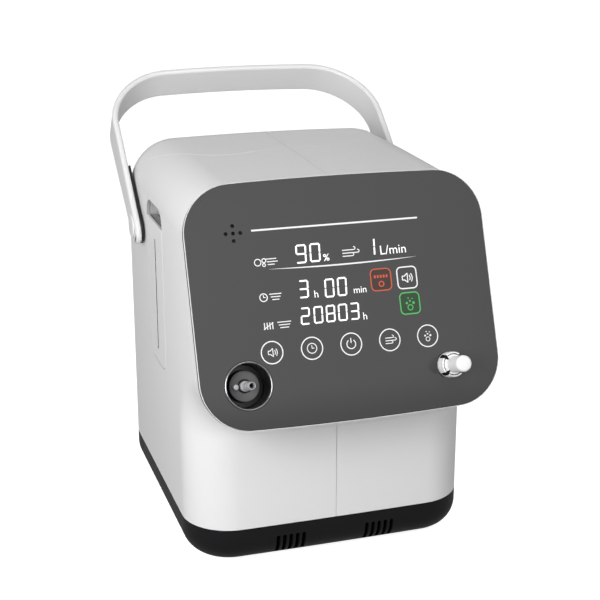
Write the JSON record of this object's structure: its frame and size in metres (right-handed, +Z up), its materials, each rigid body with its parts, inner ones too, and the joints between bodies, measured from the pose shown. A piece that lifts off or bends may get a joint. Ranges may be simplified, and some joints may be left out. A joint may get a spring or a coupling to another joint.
{
  "type": "oxygen concentrator",
  "caption": "Table-top oxygen concentrator: rounded white housing on a black vented tray, overhanging tilted panel with outlet cup and side port, swinging carry handle, hinged filter doors.",
  "frame": {"origin": "on the floor under the middle of the bounding box at rest, handle leaning back", "axes": "+Z up, -Y out of the front towards the user, +Y to the back, +X to the machine's right-hand side as the user sees it"},
  "size_m": [0.258, 0.3777, 0.3642],
  "materials": {
    "white_abs": "satin white ABS",
    "handle_abs": "satin light grey ABS",
    "black_abs": "fine-textured black ABS",
    "rim_lacquer": "bright lacquered rim",
    "smoked_acrylic": "gloss dark grey acrylic, printed behind",
    "bright_nickel": "bright nickel plate",
    "nozzle_grey": "glossy light grey nylon",
    "port_white": "glossy white polycarbonate",
    "rubber": "matt black rubber",
    "zinc_steel": "zinc plated sheet",
    "cast_aluminium": "as-cast aluminium",
    "bed_can": "drawn aluminium can filled with zeolite beads, taken as one solid of about the density of plastic",
    "motor_lacquer": "dark lacquer on a wound motor, taken as one solid of the density of aluminium",
    "board_green": "solder-masked glass-fibre board",
    "filter_foam": "open-cell foam",
    "silicone_hose": "translucent silicone",
    "grey_nylon": "matt grey nylon",
    "capacitor_can": "drawn can"
  },
  "bodies": {
    "housing": {"bacteria_filter": "port_white", "base_tray": "black_abs", "bed_stand": "grey_nylon", "casing_left": "white_abs", "casing_right": "white_abs", "compressor_cradle": "zinc_steel", "compressor_cylinder_left": "cast_aluminium", "compressor_cylinder_right": "cast_aluminium", "compressor_hose": "silicone_hose", "compressor_motor": "motor_lacquer", "deck_plate": "zinc_steel", "display_board": "board_green", "fan_frame": "black_abs", "filter_pocket_left": "grey_nylon", "filter_pocket_right": "grey_nylon", "foot_back_left": "rubber", "foot_back_right": "rubber", "foot_front_left": "rubber", "foot_front_right": "rubber", "front_panel": "smoked_acrylic", "heat_exchanger": "cast_aluminium", "intake_filter_left": "filter_foam", "intake_filter_right": "filter_foam", "isolator_back_left": "rubber", "isolator_back_right": "rubber", "isolator_front_left": "rubber", "isolator_front_right": "rubber", "main_board": "board_green", "mains_inlet": "black_abs", "nebuliser_socket": "port_white", "outlet_cup": "black_abs", "outlet_hose": "silicone_hose", "outlet_key_pin": "nozzle_grey", "outlet_trim_ring": "bright_nickel", "oxygen_nozzle": "nozzle_grey", "oxygen_sensor": "grey_nylon", "oxygen_tank": "grey_nylon", "panel_frame": "rim_lacquer", "pivot_clip_left": "zinc_steel", "pivot_clip_right": "zinc_steel", "pivot_pin_left": "handle_abs", "pivot_pin_right": "handle_abs", "pivot_washer_left": "black_abs", "pivot_washer_right": "black_abs", "power_supply": "black_abs", "rear_grille": "grey_nylon", "run_capacitor": "capacitor_can", "sieve_bed_left": "bed_can", "sieve_bed_right": "bed_can", "solenoid_valve_left": "black_abs", "solenoid_valve_right": "black_abs", "speaker": "black_abs", "valve_manifold": "cast_aluminium"},
    "carry_handle": {"carry_handle": "handle_abs"},
    "door_left": {"filter_door_left": "white_abs"},
    "door_right": {"filter_door_right": "white_abs"},
    "port_plug": {"nebuliser_plug": "port_white"},
    "fan": {"fan_rotor": "black_abs"},
    "drawer": {"fuse_drawer": "grey_nylon"}
  },
  "joints": [
    {"name": "handle_swing", "type": "hinge", "parent": "housing", "child": "carry_handle", "pos_m": [0, 0.047, 0.24882], "axis": [1, 0, 0], "range_deg": [-80, 78]},
    {"name": "door_left_hinge", "type": "hinge", "parent": "housing", "child": "door_left", "pos_m": [-0.11885, -0.0055, 0.1434], "axis": [0, -1, 0], "range_deg": [0, 75]},
    {"name": "door_right_hinge", "type": "hinge", "parent": "housing", "child": "door_right", "pos_m": [0.11885, -0.0055, 0.1434], "axis": [0, 1, 0], "range_deg": [0, 75]},
    {"name": "plug_slide", "type": "slide", "parent": "housing", "child": "port_plug", "axis": [0, -0.9321, 0.3621], "range_m": [0, 0.012]},
    {"name": "fan_spin", "type": "hinge", "parent": "housing", "child": "fan", "pos_m": [0, 0.1213, 0.19], "axis": [0, 1, 0], "continuous": true},
    {"name": "fuse_drawer_slide", "type": "slide", "parent": "housing", "child": "drawer", "axis": [0, 1, 0], "range_m": [0, 0.012]}
  ]
}
